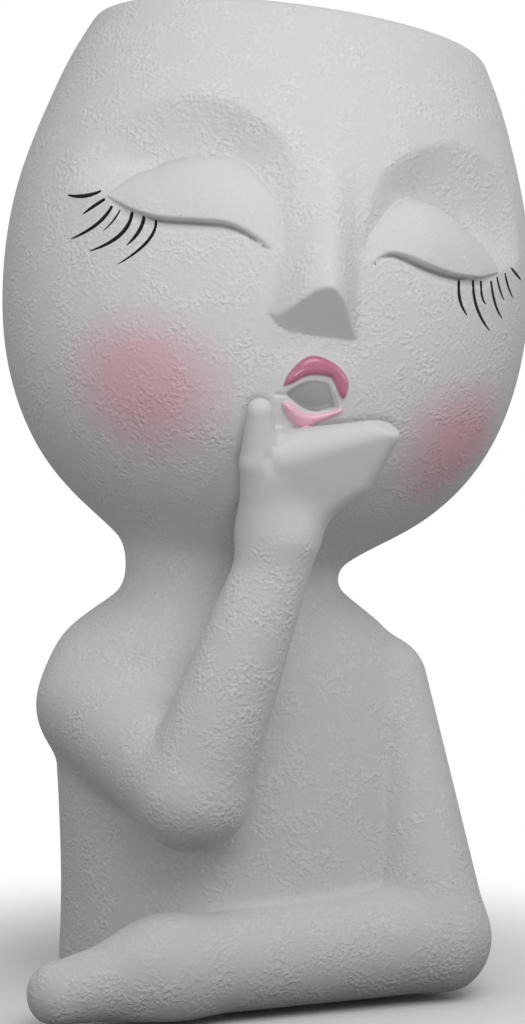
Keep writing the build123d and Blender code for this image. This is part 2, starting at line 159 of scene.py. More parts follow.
# Face outlines on the head's skin: degrees round the head from straight ahead, and millimetres above the neck
LEFT_LID_ARCH = ((-49.4, 76.1), (-45.8, 81), (-42.4, 83.1), (-37.2, 85.4), (-31.9, 86.6), (-25.1, 87.1),
                 (-21, 86), (-16.8, 83), (-13.1, 78.7), (-11.4, 74.8), (-11.5, 70.7), (-12.4, 67.2))
LEFT_LASH_LINE = ((-12.4, 67.2), (-16, 69.2), (-19.3, 70.7), (-22.6, 71.4), (-28.4, 71.4), (-35.9, 71.4),
                  (-42.5, 73), (-49.4, 76.1))
LEFT_BROW = ((-62.2, 77.5), (-62.4, 84.2), (-59, 89.7), (-50.5, 94.7), (-43.4, 97.5), (-35.2, 99.4),
             (-28.1, 99.3), (-22, 97.8), (-15.3, 94.3), (-11.6, 91), (-9.4, 85.8), (-8.6, 80.5), (-9.4, 72))
RIGHT_LID_ARCH = ((8, 67), (7.2, 71.9), (10.2, 76.5), (14.7, 81.1), (19.6, 83.5), (26.3, 83.4), (32.3, 81.8),
                  (38.5, 78.6), (42.5, 74.4), (43.6, 71))
RIGHT_LASH_LINE = ((43.6, 71), (35.7, 68.3), (27.9, 67.6), (20.5, 68.3), (15.2, 69.5), (11.6, 69.6), (8, 67))
RIGHT_BROW = ((5, 70), (5.8, 77), (7.4, 82.6), (9.4, 87.2), (13.5, 91), (18.8, 94.2), (24.7, 96.4),
              (33.1, 97.9), (42.6, 96.4), (50, 92.5), (55, 84), (54, 75))
UPPER_LIP = ((-7.5, 40), (-6.7, 42.8), (-4.3, 45.9), (-1.7, 47), (2, 46.1), (4.9, 44.2), (6.2, 42), (6, 39.2),
             (4.7, 39.3), (2.8, 42), (1.4, 43), (-2.7, 42.7), (-6, 40.6))
LOWER_LIP = ((-7.3, 36.9), (-6.8, 35), (-4.7, 32.9), (-2.8, 32.1), (-0.7, 32.5), (2.4, 34), (5.9, 36),
             (5.6, 37.2), (4, 36.4), (0.4, 35.2), (-3.1, 35.4), (-5.9, 36.9))
MOUTH = ((-7, 38.7), (-2.6, 42), (1.5, 42.2), (3.1, 40.5), (4.9, 38.1), (5.1, 36.9), (0.2, 35.7),
         (-2.9, 36.2), (-6, 37.7))
MOUTH_CORNER = ((-8.6, 38.2), (-7, 38.3))
MOUTH_CREASE = ((-7, 38.4), (-5.8, 37.9), (-2.9, 36.5), (0.2, 36), (5, 37.1))
NOSE_EDGE = ((-11, 54.5), (-6.2, 57.6), (-2.2, 60.7), (2.3, 57.2), (7.2, 51.6), (6.5, 51), (-2.2, 51),
             (-9.4, 52.5), (-11, 54.5))

# Lines that painted shade follows (dark paint for the shadow in the creases), how it thins towards their
# ends, and how much of it lies inside the mouth
LEFT_CREASE = LEFT_LASH_LINE[:7]
RIGHT_CREASE = RIGHT_LASH_LINE[1:]
CREASE_FAR = 9.0
CREASE_TAPER = 1.0
CREASE_TAPER_REACH = 5.0
MOUTH_SHADE = 0.36

# Paint: how near the head's own skin and how far round it the face's paint goes, how full the blush is, and
# where the hand, lids and mouth are smoother than the stucco
OUTER_SKIN_REACH = 2.0
FACE_TURN = 70.0
LIPS_FAR = -9.0
BLUSH_FULLNESS = 1.25
SMOOTH_EDGE = 0.5
LID_SMOOTHNESS = 0.6
HAND_SMOOTH_REACH = 4.0
HAND_SMOOTH_FADE = 3.0
HAND_SMOOTH_FOOT = 90.0
HAND_SMOOTH_RISE = 18.0
MOUTH_SMOOTH_REACH = 9.5
MOUTH_SMOOTH_FADE = 2.0

# Heights of the face's relief
SOCKET_DEPTH = 6.4
SOCKET_SLOPE_WIDTH = 11.0
BROW_ROUNDING = 0.5
TEMPLE_FADE = (48.0, 64.0)
LID_TOP = 1.4
LID_SWELL_WIDTH = 12.0
LASH_CREASE_DEPTH = 0.9
LASH_CREASE_TAPER = 6.0
LASH_CREASE_WIDTHS = (1.8, 0.5)
LID_UNDERSIDE_SLOPES = (3.0, 2.0)
LID_CORNER_REACH = 16.0
LID_RIM_ROUNDING = 1.2
NOSE_MIDDLE = -2.2
NOSE_LEVELS = (48, 51, 55, 60, 66, 72, 79, 86, 93)
NOSE_RIDGE_HEIGHTS = (8.8, 8.9, 8.9, 8.5, 6.6, 4.7, 2.8, 1.2, 0)
NOSE_HALF_WIDTHS = (11, 11, 11, 10.6, 9.8, 9.2, 8.8, 8.5, 8.5)
NOSE_BASE_LEVEL = 51.0
NOSE_WING_RISES = (2.6, 0.3)
NOSE_RIGHT_SHARE = 0.88
NOSE_WING_REACH = 9.2
NOSE_WING_END = 1.05
NOSE_UNDERSIDE_SLOPE = 0.9
NOSE_EDGE_ROUNDING = 0.6
LIP_HEIGHT = 1.3
LIP_EDGE_WIDTH = 1.6
POUT_HEIGHT = 1.2
POUT_CENTRE = (-0.8, 39.5)
POUT_REACH = 13.0
MOUTH_DEPTH = 4.6
MOUTH_LEVELS = (35.7, 42.2)
MOUTH_EDGE_WIDTH = 0.8
CORNER_DEPTH = 0.4
CORNER_WIDTH = 0.6

# Blush patches: degrees round the head, millimetres above the neck, and how far they reach each way
BLUSHES = ((-38.6, 37.4, 26.0, 19.5), (43.0, 33.5, 25.0, 18.5))

# Lash strokes as pixels of the photograph, from the lid outwards, with their width, and how they taper
LASH_STROKES = (
    ((101, 191), (84, 196), (68, 195), 4.2),
    ((105, 199), (94, 206), (83, 214), 3.8),
    ((112, 206), (97, 224), (71, 239), 4.0),
    ((120, 210), (113, 221), (103, 231), 2.0),
    ((132, 213), (120, 235), (90, 251), 4.2),
    ((144, 217), (139, 231), (127, 245), 4.0),
    ((156, 221), (147, 242), (118, 264), 3.2),
    ((459, 281), (460, 300), (467, 315), 4.0),
    ((473, 281), (477, 308), (490, 331), 4.2),
    ((481, 281), (482, 296), (486, 304), 3.4),
    ((491, 281), (495, 303), (502, 318), 4.0),
    ((497, 277), (500, 290), (504, 300), 3.4),
    ((505, 273), (508, 286), (513, 298), 3.8),
    ((511, 268), (517, 275), (521, 280), 3.8),
)
LASH_STEPS = 14
LASH_SIDES = 10
LASH_THICKNESS_SHARE = 0.3
LASH_TAPER = (0.2, 0.76)
LASH_FULLNESS = 0.6

# Studio: floor in metres, and lamps as name, azimuth, elevation, distance and width in metres, spread in
# degrees, level that they look at in metres, and power in watts
FLOOR_REACH = 6.0
FLOOR_BOUNCE = "#6e6e6e"
SHADOW_REACH = (0.05, 0.16)
AMBIENT_LIGHT = 0.37
LAMPS = (
    ("key", 0.0, 38.0, 0.55, 0.4, 180.0, 0.15, 1.33),
    ("face", -10.0, -18.0, 0.5, 0.15, 40.0, 0.165, 0.05),
    ("left", -65.0, 12.0, 0.5, 0.3, 60.0, 0.165, 0.05),
    ("right", 65.0, 12.0, 0.5, 0.3, 60.0, 0.165, 0.05),
)

# Grids of the sculpt and of the face's relief
GRID_STEP = 0.9
COARSE_CELLS = 4
GRID_MARGIN = 3.0
PROJECTION_STEPS = 2
SKIN_TRIANGLES = 125000
FEATURE_SPLITS = 2
FEATURE_REACH = 1.6
RELIEF_STEP = 0.25
RELIEF_TURNS = (-75.0, 75.0)
RELIEF_RISES = (20.0, 110.0)
CURVE_SAMPLES = 600
OUTLINE_SAMPLES = 5
LAST_CELL = 1.001
SLOPE_REACH = 0.15
SLOPE_FLOOR = 0.2
TINY = 1e-9
FLATTEST = 1e-6


# Curves and outlines

def smooth_curve(stations, values):
    """Dense samples of a natural cubic through given stations, as a lookup."""
    stations = np.array(stations, float)
    values = np.array(values, float)
    gaps = np.diff(stations)
    slopes = np.diff(values) / gaps
    bends = np.zeros(len(stations))
    inner = np.diag(2 * (gaps[:-1] + gaps[1:])) + np.diag(gaps[1:-1], 1) + np.diag(gaps[1:-1], -1)
    bends[1:-1] = np.linalg.solve(inner, 6 * np.diff(slopes))
    places = np.linspace(stations[0], stations[-1], CURVE_SAMPLES)
    left = np.clip(np.searchsorted(stations, places) - 1, 0, len(gaps) - 1)
    gap = gaps[left]
    after = places - stations[left]
    before = stations[left + 1] - places
    samples = (bends[left] * before**3 + bends[left + 1] * after**3) / (6 * gap)
    samples += (values[left] / gap - bends[left] * gap / 6) * before
    samples += (values[left + 1] / gap - bends[left + 1] * gap / 6) * after
    return lambda at: np.interp(at, places, samples)


def rounded_line(points):
    """Open line through given points, with smooth bends between them."""
    points = np.array(points, float)
    ends = np.vstack([2 * points[:1] - points[1:2], points, 2 * points[-1:] - points[-2:-1]])
    before, here, after, beyond = ends[:-3], ends[1:-2], ends[2:-1], ends[3:]
    rows = []
    for t in np.arange(OUTLINE_SAMPLES) / OUTLINE_SAMPLES:
        bend = (2 * before - 5 * here + 4 * after - beyond) * t**2
        twist = (3 * here - before - 3 * after + beyond) * t**3
        rows.append((2 * here + (after - before) * t + bend + twist) / 2)
    return np.vstack([np.stack(rows, 1).reshape(-1, 2), points[-1:]])


def rounded_outline(points):
    """Closed outline through given points, with smooth bends between them."""
    around = (*points[-2:], *points, *points[:2])
    return rounded_line(around)[2 * OUTLINE_SAMPLES:-2 * OUTLINE_SAMPLES]


def open_distance(places, points):
    """Distance from flat places to an open line of points."""
    nearest = np.full(len(places), np.inf)
    points = np.array(points, float)
    for start, end in zip(points[:-1], points[1:]):
        run = end - start
        off = places - start
        along = np.clip(off @ run / (run @ run), 0, 1)
        gap = off - along[:, None] * run
        nearest = np.minimum(nearest, (gap * gap).sum(1))
    return np.sqrt(nearest)


def outline_distance(places, outline):
    """Distance from flat places to a closed outline, negative inside it."""
    closed = np.vstack([outline, outline[:1]])
    inside = np.zeros(len(places), bool)
    for start, end in zip(closed[:-1], closed[1:]):
        run = end - start
        if run[1]:
            spans = (start[1] > places[:, 1]) != (end[1] > places[:, 1])
            inside ^= spans & (places[:, 0] < start[0] + (places[:, 1] - start[1]) * run[0] / run[1])
    return np.where(inside, -1, 1) * open_distance(places, closed)


def ease(value):
    """Smooth step from 0 to 1."""
    value = np.clip(value, 0, 1)
    return value * value * (3 - 2 * value)


def soft_min(first, second, softness):
    """The lesser of two values, rounded where they cross."""
    share = np.clip(0.5 + (second - first) / (2 * softness), 0, 1)
    return second + (first - second) * share - softness * share * (1 - share)


def soft_max(first, second, softness):
    """The greater of two values, rounded where they cross."""
    return -soft_min(-first, -second, softness)


# Face relief: height above the plain head, over degrees round the head and millimetres up it

def eye_relief(places, brow, arch, lash_line):
    """Socket that breaks off at the brow line and slopes in to a closed lid, with a rim that turns in at the
    lash line."""
    in_socket = outline_distance(places, rounded_outline(brow + lash_line)) < 0
    in_lid = outline_distance(places, lid_outline(arch, lash_line)) < 0
    from_arch = open_distance(places, rounded_line(arch))
    from_brow = open_distance(places, rounded_line(lash_line[-1:] + brow + lash_line[:1]))
    slope_width = np.maximum(from_brow + np.where(in_lid, 0, from_arch), SOCKET_SLOPE_WIDTH)
    fade = ease((TEMPLE_FADE[1] - np.abs(places[:, 0])) / (TEMPLE_FADE[1] - TEMPLE_FADE[0]))
    socket = -SOCKET_DEPTH * (np.sqrt(from_brow**2 + BROW_ROUNDING**2) - BROW_ROUNDING) / slope_width * fade
    socket = np.where(in_socket | in_lid, socket, 0)
    from_lashes = open_distance(places, rounded_line(lash_line))
    inner_end, outer_end = sorted((lash_line[0], lash_line[-1]), key=lambda point: abs(point[0]))
    from_inner = np.hypot(*(places - inner_end).T)
    from_outer = np.hypot(*(places - outer_end).T)
    inner = ease(1 - from_inner / LID_CORNER_REACH)
    underside = LID_UNDERSIDE_SLOPES[0] * (1 - inner) + LID_UNDERSIDE_SLOPES[1] * inner
    crease_width = LASH_CREASE_WIDTHS[0] * (1 - inner) + LASH_CREASE_WIDTHS[1] * inner
    crease_depth = LASH_CREASE_DEPTH * ease(np.minimum(from_outer, 2 * from_inner) / LASH_CREASE_TAPER)
    swell = np.clip(from_arch / LID_SWELL_WIDTH, 0, 1)
    lid = socket + (LID_TOP - socket) * np.sqrt(1 - (1 - swell) ** 2)
    lid = soft_min(lid, underside * from_lashes - crease_depth, LID_RIM_ROUNDING)
    cheek = socket - crease_depth * np.clip(1 - from_lashes / crease_width, 0, 1)
    return np.where(in_lid, lid, cheek)


def lid_outline(arch, lash_line):
    """Closed outline of a lid, pointed at both corners."""
    return np.vstack([rounded_line(arch)[:-1], rounded_line(lash_line)[:-1]])


def nose_relief(places):
    """Rounded ridge that runs into the cheeks and ends in a slanting underside between two wings."""
    turn, rise = places.T
    ridge = smooth_curve(NOSE_LEVELS, NOSE_RIDGE_HEIGHTS)(rise)
    half_width = smooth_curve(NOSE_LEVELS, NOSE_HALF_WIDTHS)(rise)
    right = turn > NOSE_MIDDLE
    aside = np.abs(turn - NOSE_MIDDLE)
    side = ridge * (1 - ease(aside / np.where(right, half_width * NOSE_RIGHT_SHARE, half_width)))
    wing = np.where(right, NOSE_WING_RISES[1], NOSE_WING_RISES[0])
    base = NOSE_BASE_LEVEL + wing * np.minimum(aside / NOSE_WING_REACH, NOSE_WING_END) ** 4
    underside = (rise - base) * NOSE_UNDERSIDE_SLOPE
    return np.maximum(soft_min(side, underside, NOSE_EDGE_ROUNDING), 0)


def lip_relief(places):
    """Pursed lips on a soft mound, round a hollow that slopes in and down to the lower lip."""
    from_middle = np.hypot(places[:, 0] - POUT_CENTRE[0], places[:, 1] - POUT_CENTRE[1])
    heights = POUT_HEIGHT * ease(1 - from_middle / POUT_REACH)
    for outline in (UPPER_LIP, LOWER_LIP):
        edge = np.clip(-outline_distance(places, rounded_outline(outline)) / LIP_EDGE_WIDTH, 0, 1)
        heights = heights + LIP_HEIGHT * np.sqrt(1 - (1 - edge) ** 2)
    inside = np.clip(-outline_distance(places, rounded_outline(MOUTH)) / MOUTH_EDGE_WIDTH, 0, 1)
    drop = np.clip((MOUTH_LEVELS[1] - places[:, 1]) / (MOUTH_LEVELS[1] - MOUTH_LEVELS[0]), 0, 1)
    heights = heights - MOUTH_DEPTH * drop * ease(inside)
    return heights - CORNER_DEPTH * np.clip(1 - open_distance(places, MOUTH_CORNER) / CORNER_WIDTH, 0, 1)


def relief_map():
    """The whole face's relief on a fine grid."""
    turns = np.arange(RELIEF_TURNS[0], RELIEF_TURNS[1] + RELIEF_STEP / 2, RELIEF_STEP)
    rises = np.arange(RELIEF_RISES[0], RELIEF_RISES[1] + RELIEF_STEP / 2, RELIEF_STEP)
    places = np.stack(np.meshgrid(turns, rises, indexing="ij"), -1).reshape(-1, 2)
    heights = eye_relief(places, LEFT_BROW, LEFT_LID_ARCH, LEFT_LASH_LINE)
    heights = heights + eye_relief(places, RIGHT_BROW, RIGHT_LID_ARCH, RIGHT_LASH_LINE)
    heights = np.maximum(heights, nose_relief(places) + np.minimum(heights, 0))
    return (heights + lip_relief(places)).reshape(len(turns), len(rises))


face_heights = relief_map()


def face_height(turn, rise):
    """Height of the relief at places on the head, read from its map."""
    across = np.clip((turn - RELIEF_TURNS[0]) / RELIEF_STEP, 0, face_heights.shape[0] - LAST_CELL)
    up = np.clip((rise - RELIEF_RISES[0]) / RELIEF_STEP, 0, face_heights.shape[1] - LAST_CELL)
    i, j = across.astype(int), up.astype(int)
    u, v = across - i, up - j
    low = face_heights[i, j] * (1 - u) + face_heights[i + 1, j] * u
    high = face_heights[i, j + 1] * (1 - u) + face_heights[i + 1, j + 1] * u
    return low * (1 - v) + high * v


# Forms of the casting as distances in millimetres, negative inside

def limb(points, start, end):
    """Tapered limb with ball ends at two joints."""
    (start, start_radius), (end, end_radius) = start, end
    start = np.array(start)
    run = np.array(end) - start
    length = np.sqrt(run @ run)
    lean = (start_radius - end_radius) / length
    off = points - start
    along = off @ run / length
    aside = np.sqrt(np.maximum((off * off).sum(1) - along**2, 0))
    slide = np.clip((along + aside * lean / np.sqrt(1 - lean**2)) / length, 0, 1)
    centre = along - slide * length
    return np.sqrt(aside**2 + centre**2) - (start_radius + (end_radius - start_radius) * slide)


def ellipse_distance(across, deep, half_width, half_depth):
    """Nearly the distance to an ellipse."""
    size = np.sqrt((across / half_width) ** 2 + (deep / half_depth) ** 2) + TINY
    steepness = np.sqrt((across / half_width**2) ** 2 + (deep / half_depth**2) ** 2) / size
    return (size - 1) / np.maximum(steepness, FLATTEST)


head_half_width = smooth_curve(HEAD_LEVELS, HEAD_HALF_WIDTHS)
head_half_depth = smooth_curve(HEAD_LEVELS, HEAD_HALF_DEPTHS)
head_forward = smooth_curve(HEAD_LEVELS, HEAD_FORWARDS)
torso_half_width = smooth_curve(TORSO_LEVELS, TORSO_HALF_WIDTHS)
torso_half_depth = smooth_curve(TORSO_LEVELS, TORSO_HALF_DEPTHS)
torso_shift_x = smooth_curve(TORSO_LEVELS, TORSO_SHIFTS_X)
torso_shift_y = smooth_curve(TORSO_LEVELS, TORSO_SHIFTS_Y)


def on_head(points):
    """Points in the head's own leaning axes, from the neck joint."""
    off = points - NECK
    lean = radians(HEAD_TILT)
    across = off[:, 0] * cos(lean) - off[:, 2] * sin(lean)
    level = off[:, 0] * sin(lean) + off[:, 2] * cos(lean)
    return across, off[:, 1], level


def head_turn(across, deep, level):
    """Degrees round the head from straight ahead."""
    side = across / head_half_width(level)
    ahead = -(deep + head_forward(level)) / head_half_depth(level)
    return np.degrees(np.arctan2(side, ahead))


def head_distance(points):
    """The head with its face, closed at the rim."""
    across, deep, level = on_head(points)
    ahead = deep + head_forward(level)
    skin = ellipse_distance(across, ahead, head_half_width(level), head_half_depth(level))
    slope = head_half_width(level + 0.5) - head_half_width(level - 0.5)
    skin = skin / np.sqrt(1 + slope**2)
    skin = skin - face_height(head_turn(across, deep, level), level)
    skin = soft_max(skin, level - HEAD_HEIGHT, RIM_ROUNDING)
    return np.maximum(skin, HEAD_LEVELS[0] - level)


def bowl_distance(points):
    """Planting space inside the head, from a level floor out through the mouth."""
    across, deep, level = on_head(points)
    half_width = head_half_width(level) - BOWL_WALL
    half_depth = head_half_depth(level) - BOWL_WALL - FACE_EXTRA_WALL / 2
    space = ellipse_distance(across, deep + head_forward(level) - FACE_EXTRA_WALL / 2, half_width, half_depth)
    return soft_max(space, FLOOR_LEVEL - points[:, 2], FLOOR_ROUNDING)


def torso_distance(points, wall=0.0):
    """The bust without its arms, drawn in by a wall."""
    level = points[:, 2]
    across = points[:, 0] - torso_shift_x(level)
    deep = points[:, 1] - torso_shift_y(level)
    skin = ellipse_distance(across, deep, torso_half_width(level) - wall, torso_half_depth(level) - wall)
    slope = torso_half_width(level + 0.5) - torso_half_width(level - 0.5)
    return np.maximum(skin / np.sqrt(1 + slope**2), level - TORSO_LEVELS[-1])


def resting_arm_distance(points):
    """Image-right upper arm, and the forearm and hand that lie along the base."""
    arm = limb(points, LEFT_SHOULDER, LEFT_ELBOW)
    arm = soft_min(arm, limb(points, LEFT_ELBOW, LEFT_WRIST), FOREARM_BLEND)
    return soft_min(arm, limb(points, LEFT_WRIST, LEFT_FINGERTIP), PALM_BLEND)


def slab(points, *joints):
    """Flat slab with round edges between three joints, each as thick as its own ball."""
    corners = np.array([place for place, _ in joints])
    radii = np.array([radius for _, radius in joints])
    runs = np.roll(corners, -1, 0) - corners
    normal = np.cross(runs[0], runs[1])
    doubled_area = np.sqrt(normal @ normal)
    normal = normal / doubled_area
    within = np.ones(len(points), bool)
    thickness = np.zeros(len(points))
    nearest = np.full(len(points), np.inf)
    for i, (corner, run) in enumerate(zip(corners, runs)):
        off = points - corner
        share = off @ np.cross(normal, run) / doubled_area
        within &= share >= 0
        thickness += share * radii[i - 1]
        along = np.clip(off @ run / (run @ run), 0, 1)
        gap = off - along[:, None] * run
        radius = radii[i] + (radii[(i + 1) % 3] - radii[i]) * along
        nearest = np.minimum(nearest, np.sqrt((gap * gap).sum(1)) - radius)
    flat = np.abs((points - corners[0]) @ normal) - thickness
    return np.where(within, flat, nearest)


def hand_distance(points):
    """Raised hand: a palm that narrows to the fingertips and is open at the top, and a thumb beside it."""
    fingers = slab(points, PALM_TOP, KNUCKLES, FINGERTIP)
    palm = np.minimum(slab(points, PALM_HEEL, PALM_TOP, KNUCKLES), fingers)
    across, deep, level = (points - PALM_RIM).T
    top = level - PALM_RIM_SLOPES[0] * across - PALM_RIM_SLOPES[1] * deep - PALM_RIM_BEND * across**2
    palm = soft_max(palm, top / np.hypot(1, np.hypot(*PALM_RIM_SLOPES)), PALM_RIM_ROUNDING)
    thumb = limb(points, THUMB_ROOT, THUMB_MIDDLE)
    thumb = soft_min(thumb, limb(points, THUMB_MIDDLE, THUMB_TIP), THUMB_BEND_BLEND)
    within = ease(1 - np.abs(points[:, 2] - THUMB_GROOVE_MIDDLE) / THUMB_GROOVE_REACH)
    seam = np.exp(-(((palm - thumb) / THUMB_GROOVE_WIDTH) ** 2)) * within
    return soft_min(palm, thumb, THUMB_BLEND) + THUMB_GROOVE_DEPTH * seam


def raised_forearm_distance(points):
    """Raised forearm from the elbow to the hand."""
    return soft_min(limb(points, RIGHT_ELBOW, RIGHT_WRIST), hand_distance(points), PALM_BLEND)


def hollow_distance(points):
    """Everything that is open inside the casting: planting space, bust, plate pocket and drain."""
    level = points[:, 2]
    bust = np.maximum(torso_distance(points, TORSO_WALL), level - HOLLOW_TOP)
    pocket = ellipse_distance(points[:, 0], points[:, 1], PLATE_HALF_WIDTH, PLATE_HALF_DEPTH)
    pocket = np.maximum(pocket, level - PLATE_TOP)
    drain = np.hypot(points[:, 0] - DRAIN[0], points[:, 1] - DRAIN[1]) - DRAIN_RADIUS
    drain = np.maximum(drain, level - FLOOR_LEVEL - FLOOR_ROUNDING)
    return np.minimum(np.minimum(bust, pocket), np.minimum(drain, bowl_distance(points)))


def skin_distance(points):
    """The whole casting."""
    body = soft_min(head_distance(points), torso_distance(points), NECK_BLEND)
    arm = resting_arm_distance(points)
    from_ends = np.minimum(ARM_CREASE_TOP - points[:, 2], points[:, 2] - ARM_CREASE_FOOT)
    seam = np.exp(-(((body - arm) / ARM_CREASE_WIDTH) ** 2)) * ease(from_ends / ARM_CREASE_FADE)
    body = soft_min(body, arm, RESTING_ARM_BLEND) + ARM_CREASE_DEPTH * seam
    body = soft_min(body, limb(points, RIGHT_SHOULDER, RIGHT_ELBOW), ARM_BLEND)
    body = soft_min(body, raised_forearm_distance(points), FOREARM_BLEND)
    body = soft_max(body, CASTING_BASE - points[:, 2], BASE_ROUNDING)
    return soft_max(body, -hollow_distance(points), HOLLOW_ROUNDING)


# From distances to a mesh

def sample_field(low, high):
    """Distances on a grid, worked out in full only near the surface."""
    blocks = np.ceil((high - low) / (GRID_STEP * COARSE_CELLS)).astype(int)
    middles = np.stack(np.meshgrid(*[np.arange(n) for n in blocks], indexing="ij"), -1).reshape(-1, 3)
    middles = low + (middles * COARSE_CELLS + (COARSE_CELLS - 1) / 2) * GRID_STEP
    coarse = skin_distance(middles).reshape(blocks)
    reach = GRID_STEP * COARSE_CELLS
    near = np.abs(coarse) < 2 * reach
    for axis in range(3):
        near = near | np.roll(near, 1, axis) | np.roll(near, -1, axis)
    field = coarse.repeat(COARSE_CELLS, 0).repeat(COARSE_CELLS, 1).repeat(COARSE_CELLS, 2)
    fine = np.argwhere(near.repeat(COARSE_CELLS, 0).repeat(COARSE_CELLS, 1).repeat(COARSE_CELLS, 2))
    field[tuple(fine.T)] = skin_distance(low + fine * GRID_STEP)
    return field


def surface_net(field):
    """One vertex in each grid cell that the surface crosses, joined by four-sided faces."""
    inside = field < 0
    corners = [np.array([i, j, k]) for i in (0, 1) for j in (0, 1) for k in (0, 1)]
    size = np.array(field.shape) - 1
    held = np.zeros(size, int)
    for i, j, k in corners:
        held += inside[i:i + size[0], j:j + size[1], k:k + size[2]]
    cells = np.argwhere((held > 0) & (held < len(corners)))
    total = np.zeros((len(cells), 3))
    count = np.zeros(len(cells))
    for start in corners:
        for axis in np.flatnonzero(start == 0):
            end = start + np.eye(3, dtype=int)[axis]
            first = field[tuple((cells + start).T)]
            second = field[tuple((cells + end).T)]
            crosses = (first < 0) != (second < 0)
            share = np.where(crosses, first / np.where(crosses, first - second, 1), 0)
            total += np.where(crosses[:, None], start + share[:, None] * (end - start), 0)
            count += crosses
    numbers = np.full(size, -1)
    numbers[tuple(cells.T)] = np.arange(len(cells))
    faces = []
    for axis in range(3):
        step = np.eye(3, dtype=int)[axis]
        side, other = np.eye(3, dtype=int)[(axis + 1) % 3], np.eye(3, dtype=int)[(axis + 2) % 3]
        ends = np.array(field.shape) - step
        here = inside[:ends[0], :ends[1], :ends[2]]
        there = inside[step[0]:, step[1]:, step[2]:]
        edges = np.argwhere(here != there)
        edges = edges[((edges > 0) | (step == 1)).all(1) & ((edges < size) | (step == 1)).all(1)]
        ring = [numbers[tuple((edges - shift).T)] for shift in (0 * step, side, side + other, other)]
        quads = np.stack(ring, 1)
        outward = inside[tuple(edges.T)]
        faces.append(np.where(outward[:, None], quads, quads[:, ::-1]))
    return cells + total / count[:, None], np.concatenate(faces)


def slope_of(distance, points):
    """Direction and steepness in which a distance grows."""
    corners = np.array([(1, -1, -1), (-1, -1, 1), (-1, 1, -1), (1, 1, 1)], float)
    total = sum(corner * distance(points + corner * SLOPE_REACH)[:, None] for corner in corners)
    return total / (len(corners) * SLOPE_REACH)


def sculpt_skin():
    """Mesh of the whole casting, in metres."""
    low = np.array(cad_box[0]) / MM - GRID_MARGIN
    high = np.array(cad_box[1]) / MM + GRID_MARGIN
    vertices, faces = surface_net(sample_field(low, high))
    vertices = pull_to_skin(low + vertices * GRID_STEP)
    mesh = bpy.data.meshes.new("painted_casting")
    mesh.from_pydata((vertices * MM).tolist(), [], faces.tolist())
    piece = bpy.data.objects.new("painted_casting", mesh)
    bpy.context.scene.collection.objects.link(piece)
    thin = piece.modifiers.new("thin", "DECIMATE")
    thin.ratio = min(1.0, SKIN_TRIANGLES / (2 * len(faces)))
    bake_modifiers(piece)
    for _ in range(FEATURE_SPLITS):
        split_features(piece)
    piece.data.polygons.foreach_set("use_smooth", np.ones(len(piece.data.polygons), bool))
    return piece


def pull_to_skin(vertices):
    """Vertices moved onto the exact surface."""
    for _ in range(PROJECTION_STEPS):
        slope = slope_of(skin_distance, vertices)
        shift = skin_distance(vertices) / np.maximum((slope * slope).sum(1), SLOPE_FLOOR)
        vertices = vertices - slope * np.clip(shift, -GRID_STEP, GRID_STEP)[:, None]
    return vertices


def split_features(piece):
    """Halves the faces along the edges of the lids, nose and lips, so that these come out crisp."""
    points = vertex_places(piece)
    across, deep, level = on_head(points)
    places = np.stack([head_turn(across, deep, level), level], 1)
    on_skin = np.abs(head_distance(points)) < FEATURE_REACH
    front = np.flatnonzero(on_skin & (np.abs(places[:, 0]) < RELIEF_TURNS[1]))
    away = np.full(len(front), np.inf)
    lines = [LEFT_LID_ARCH, LEFT_LASH_LINE, RIGHT_LID_ARCH, RIGHT_LASH_LINE, NOSE_EDGE, MOUTH_CORNER]
    lines += [outline + outline[:1] for outline in (UPPER_LIP, LOWER_LIP, MOUTH)]
    for line in lines:
        away = np.minimum(away, open_distance(places[front], line))
    near = np.zeros(len(points), bool)
    near[front[away < FEATURE_REACH]] = True
    form = bmesh.new()
    form.from_mesh(piece.data)
    edges = [edge for edge in form.edges if near[edge.verts[0].index] or near[edge.verts[1].index]]
    bmesh.ops.subdivide_edges(form, edges=edges, cuts=1, use_grid_fill=True)
    bmesh.ops.triangulate(form, faces=form.faces[:])
    form.to_mesh(piece.data)
    form.free()
    points = vertex_places(piece)
    points[len(near):] = pull_to_skin(points[len(near):])
    points[:len(near)][near] = pull_to_skin(points[:len(near)][near])
    piece.data.vertices.foreach_set("co", (points * MM).ravel())


def bake_modifiers(piece):
    """Turns a piece with modifiers into a plain mesh."""
    bpy.context.view_layer.update()
    finished = bpy.data.meshes.new_from_object(piece.evaluated_get(bpy.context.evaluated_depsgraph_get()))
    finished.name = piece.name
    piece.modifiers.clear()
    piece.data = finished


def vertex_places(piece):
    """Vertices of a piece, in millimetres."""
    places = np.zeros(len(piece.data.vertices) * 3)
    piece.data.vertices.foreach_get("co", places)
    return places.reshape(-1, 3) / MM


def set_attribute(piece, name, values):
    """Keeps one number for each vertex."""
    attribute = piece.data.attributes.new(name, "FLOAT", "POINT")
    attribute.data.foreach_set("value", np.asarray(values, np.float32))


